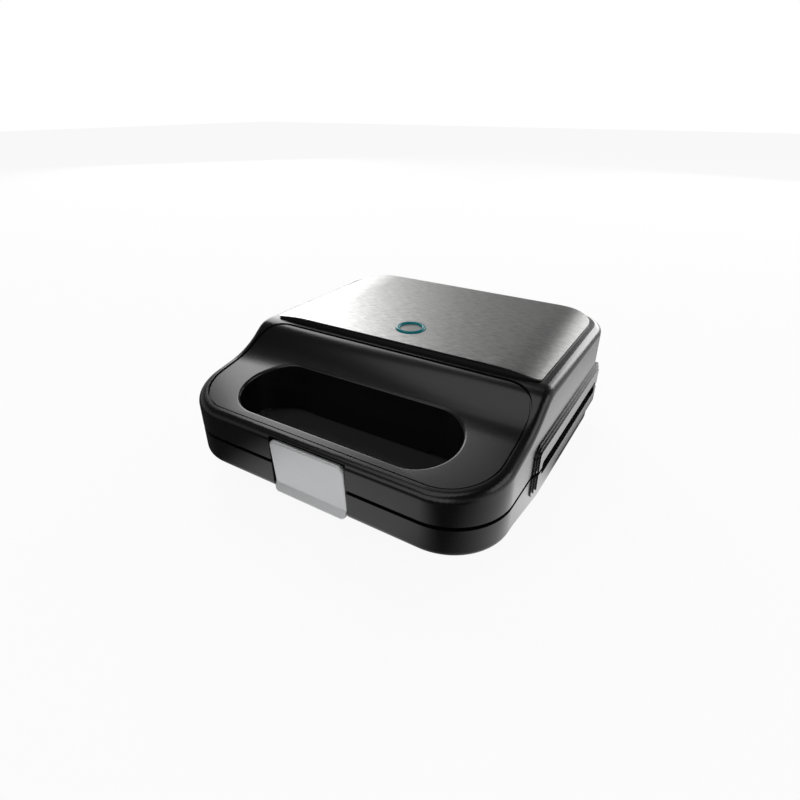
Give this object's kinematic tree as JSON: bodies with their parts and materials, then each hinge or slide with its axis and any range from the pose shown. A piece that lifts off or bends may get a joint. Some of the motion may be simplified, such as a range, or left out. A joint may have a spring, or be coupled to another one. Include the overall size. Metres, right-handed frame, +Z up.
{
  "type": "donut maker",
  "caption": "Countertop hinged donut maker with a finger-opening handle, front latch, steel top panel and ring-shaped mould plates.",
  "frame": {"origin": "on the table surface under the middle of the machine's box", "axes": "+X to the machine's right side seen from the front of it facing the back, +Y from the latch to the hinge, +Z up"},
  "size_m": [0.2454, 0.2577, 0.0963],
  "materials": {
    "casing_plastic": "black, satin gloss",
    "liner_plastic": "black, fine texture",
    "panel_steel": "brushed across",
    "latch_silver": "satin silver paint",
    "lens_teal": "translucent teal",
    "nonstick_plate": "black non-stick coating",
    "heater_steel": "dull sheath",
    "reflector_sheet": "mill finish",
    "zinc_steel": "zinc plated",
    "foot_rubber": "matte",
    "pale_insulator": "matte",
    "thermostat_case": "moulded phenolic",
    "lamp_glass": "clear"
  },
  "bodies": {
    "base": {"lower_shell": "casing_plastic", "lower_liner": "liner_plastic", "lower_handle_deck": "liner_plastic", "cord_gland": "liner_plastic", "lower_mould_plate": "nonstick_plate", "lower_heating_element": "heater_steel", "lower_reflector": "reflector_sheet", "lower_cover_screws": "zinc_steel", "lower_liner_screws": "zinc_steel", "lower_plate_screws": "zinc_steel", "hinge_pin_left": "zinc_steel", "hinge_pin_right": "zinc_steel", "foot_front_left": "foot_rubber", "foot_front_right": "foot_rubber", "foot_rear_left": "foot_rubber", "foot_rear_right": "foot_rubber", "terminal_block": "pale_insulator", "thermal_fuse": "pale_insulator", "thermostat": "thermostat_case"},
    "lid": {"upper_shell": "casing_plastic", "cover_plate": "panel_steel", "indicator_ring": "lens_teal", "indicator_cap": "panel_steel", "lamp_holder": "pale_insulator", "indicator_lamp": "lamp_glass", "upper_handle_cover": "liner_plastic", "upper_cover_screws": "zinc_steel", "upper_liner": "liner_plastic", "upper_liner_screws": "zinc_steel", "upper_mould_plate": "nonstick_plate", "upper_heating_element": "heater_steel", "upper_reflector": "reflector_sheet", "upper_plate_screws": "zinc_steel", "latch_pin": "zinc_steel"},
    "latch": {"latch": "latch_silver"}
  },
  "joints": [
    {"name": "lid_hinge", "type": "hinge", "parent": "base", "child": "lid", "pos_m": [0, 0.12385, 0.039], "axis": [-1, 0, 0], "range_deg": [0, 100]},
    {"name": "latch_pivot", "type": "hinge", "parent": "lid", "child": "latch", "pos_m": [0, -0.12355, 0.051], "axis": [-1, 0, 0], "range_deg": [0, 35]}
  ]
}
